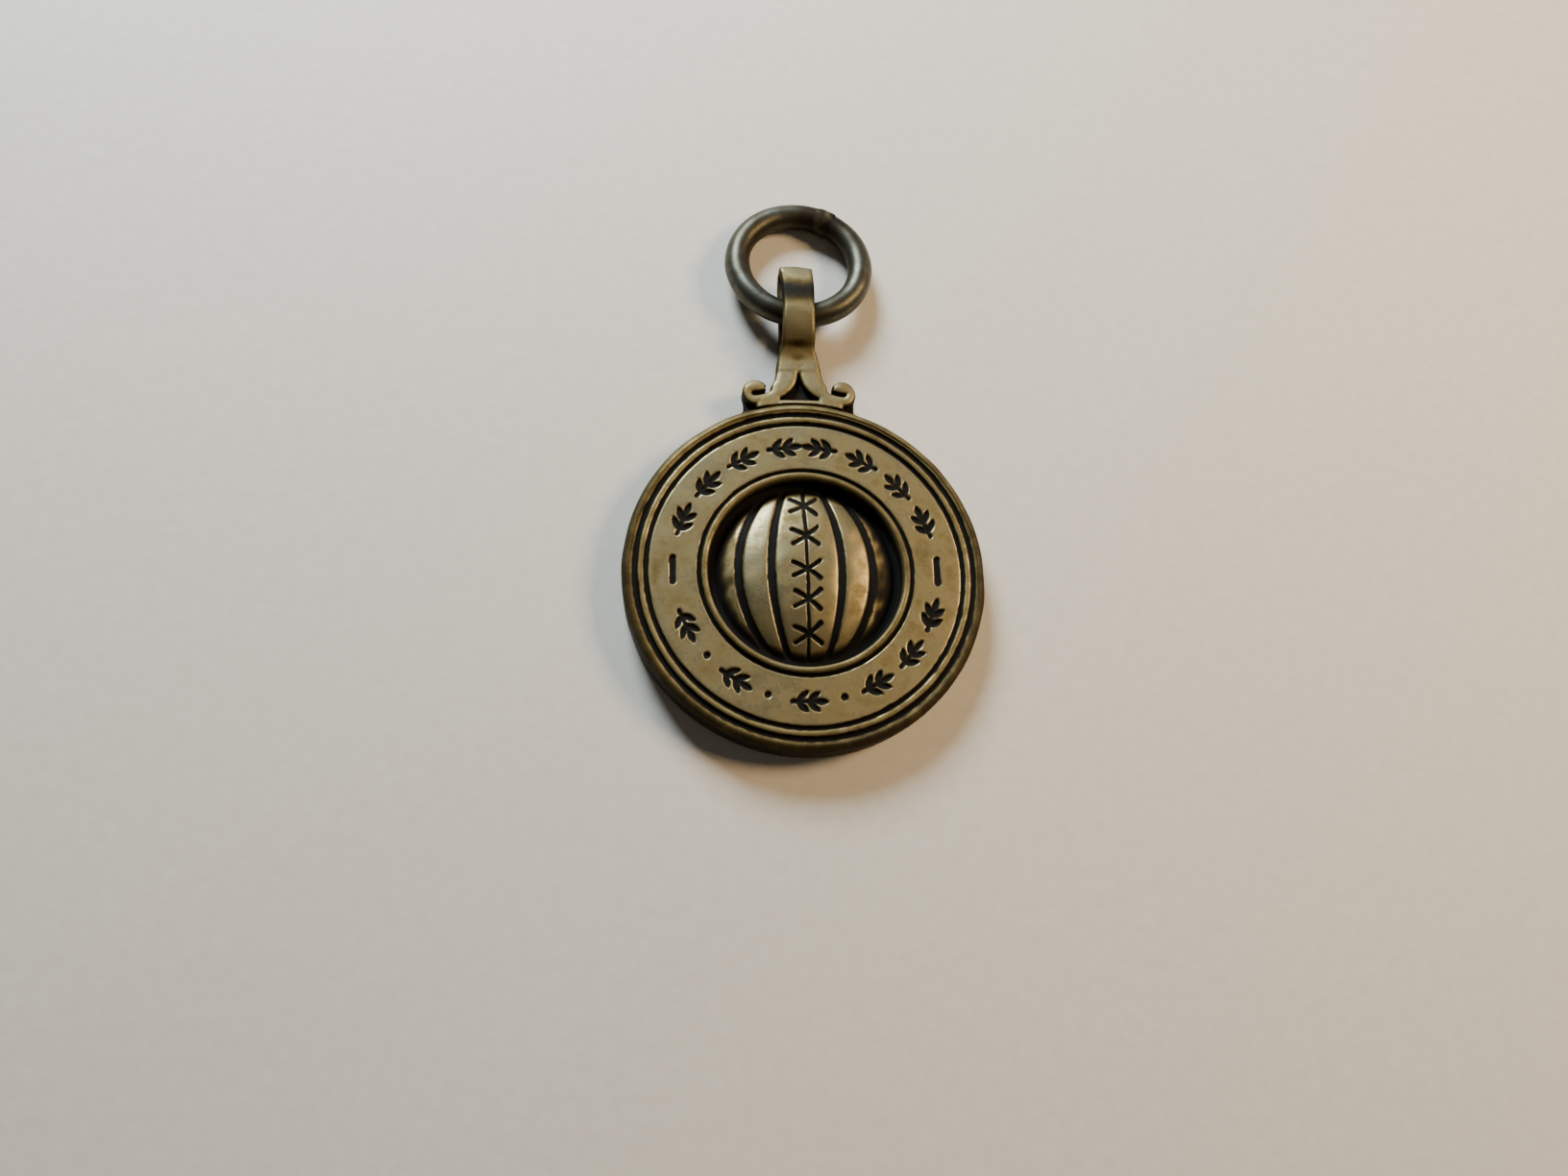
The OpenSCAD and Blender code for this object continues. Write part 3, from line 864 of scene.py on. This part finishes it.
def lumps(path, sides, seed, size):
    """Seeded unevenness over the skin of a tube along a path."""
    around = round_steps(sides)
    x, y = path[:, :1] + 0 * around, path[:, 1:2] + 0 * around
    return waves(x, y, np.sin(around)[None, :], seed, size)


def make_ring():
    sides, steps = 48, 300
    gap = BUTT_HALF_GAP / RING_R
    a = np.linspace(BUTT_ANGLE + gap, BUTT_ANGLE + 2 * math.pi - gap, steps)
    path = ring_path(a)
    worn = bell(path[:, :1], 2.6) * (path[:, 1:2] < 0)
    radii = WIRE_R + 0.03 - 0.05 * worn + 0.014 * lumps(path, sides, 31, 3.0)
    points, faces = tube(path, radii, sides, False)
    around = round_steps(sides)
    below = np.tile(-np.sin(around), steps)
    inner = np.tile(-np.cos(around), steps)
    near_butt = np.repeat(bell(np.minimum(a - BUTT_ANGLE, BUTT_ANGLE + 2 * math.pi - a), 0.42), sides)
    in_eye = np.repeat(bell(a - 1.5 * math.pi, 0.3), sides)
    # Painted shade on the wire's underside and inner side; near_butt darkens the solder joint, and in_eye
    # darkens the wire where it runs through the eye.
    patina_and_shade = 0.20 + 0.35 * np.clip(below, 0, 1) + 0.5 * near_butt + 0.25 * in_eye
    patina_and_shade = patina_and_shade + 0.1 * np.clip(inner, 0, 1)
    metal = toned_metal("ring_wire", WIRE_TONES, WIRE_SHINE, 0.6)
    make_piece("jump_ring_wire", hang(points), faces, metal, "ring", "jump_ring", patina_and_shade)


def make_lump(metal):
    """The lump of solder over the ring's butt joint."""
    sides, steps = 40, 40
    half = math.radians(8.5)
    a = np.linspace(BUTT_ANGLE - half, BUTT_ANGLE + half, steps)
    path = ring_path(a)
    swell = 0.075 * np.sqrt(np.maximum(1 - ((a - BUTT_ANGLE) / half) ** 2, 0))[:, None]
    lumpy = 1 + 0.55 * lumps(path, sides, 41, 1.0)
    radii = WIRE_R + 0.02 + np.clip(swell * lumpy, -0.02, 0.09)
    points, faces = tube(path, radii, sides, False)
    points = hang(points)
    patina_and_shade = np.clip(0.62 + 0.3 * waves(*points.T, 43, 0.9), 0.2, 1)
    make_piece("ring_solder_lump", points, faces, metal, "ring", "ring_solder", patina_and_shade)


def bead(name, path, radius, seed, node, up, metal):
    """A lumpy closed bead of solder along a path."""
    path = np.array(path)
    sides = 20
    radii = radius * (1 + 0.15 * lumps(path, sides, seed, 1.6))
    points, faces = tube(path, radii, sides, True, up)
    patina_and_shade = np.clip(0.5 + 0.25 * waves(*points.T, seed + 1, 1.1), 0.25, 1)
    make_piece(name, points, faces, metal, "medal", node, patina_and_shade)


def rounded_loop(corners, spacing):
    """Evenly spaced points round a closed loop of corners."""
    out = []
    for a, b in zip(corners, corners[1:] + corners[:1]):
        a, b = np.array(a, float), np.array(b, float)
        count = max(2, round(np.linalg.norm(b - a) / spacing))
        out += [a + (b - a) * i / count for i in range(count)]
    return out


def make_solder(metal):
    """The beads round the base's joint with the disc, and round the tongue on the neck's back."""
    reach = math.asin(BASE_X / DISC_R)
    angles = np.linspace(-reach, reach, 90)
    joint_r = DISC_R + 0.02
    front, back = PLATE_BACK + BASE_T + 0.02, PLATE_BACK - 0.02
    crest = [front + 0.32 * math.exp(-(a / 0.235) ** 12) for a in angles]
    loop = [(joint_r * math.sin(a), joint_r * math.cos(a), z) for a, z in zip(angles, crest)]
    ends = np.linspace(front, back, 8)[1:-1]
    end_x, end_y = joint_r * math.sin(reach) + 0.03, joint_r * math.cos(reach)
    loop += [(end_x, end_y, z) for z in ends]
    loop += [(joint_r * math.sin(a), joint_r * math.cos(a), back) for a in angles[::-1]]
    loop += [(-end_x, end_y, z) for z in ends[::-1]]
    bead("rim_solder_bead", loop, 0.18, 51, "rim_solder", (0, 1, 0), metal)
    half, z = STRAP_W / 2, PLATE_BACK - 0.03
    loop = rounded_loop([(-half, TIP_Y - 0.05, z), (half, TIP_Y - 0.05, z),
                         (half, NECK_TOP, z), (-half, NECK_TOP, z)], 0.12)
    bead("tongue_solder_bead", loop, 0.13, 61, "tongue_solder", (0, 0, 1), metal)


# ---------------------------------------------------------------- colours, from worn or painted-highlight bright to dark recess or painted shade

BRASS_TONES = [(0.0, srgb(146, 134, 98)), (0.13, srgb(126, 112, 74)), (0.28, srgb(97, 84, 51)),
               (0.5, srgb(61, 51, 30)), (0.75, srgb(30, 24, 13)), (1.0, srgb(12, 9, 5))]
WIRE_TONES = [(0.0, srgb(104, 104, 94)), (0.25, srgb(74, 71, 58)), (0.5, srgb(50, 43, 30)),
              (0.75, srgb(32, 24, 14)), (1.0, srgb(14, 10, 6))]
SOLDER_TONES = [(0.0, srgb(88, 82, 60)), (0.5, srgb(50, 41, 26)), (1.0, srgb(18, 13, 7))]
BRASS_SHINE = (0.36, 0.62)
WIRE_SHINE = (0.2, 0.42)
SOLDER_SHINE = (0.5, 0.7)


make_camera()
make_stage()
make_disc()
make_suspension()
make_ring()
solder = toned_metal("solder_tone", SOLDER_TONES, SOLDER_SHINE, 1.2)
make_lump(solder)
make_solder(solder)
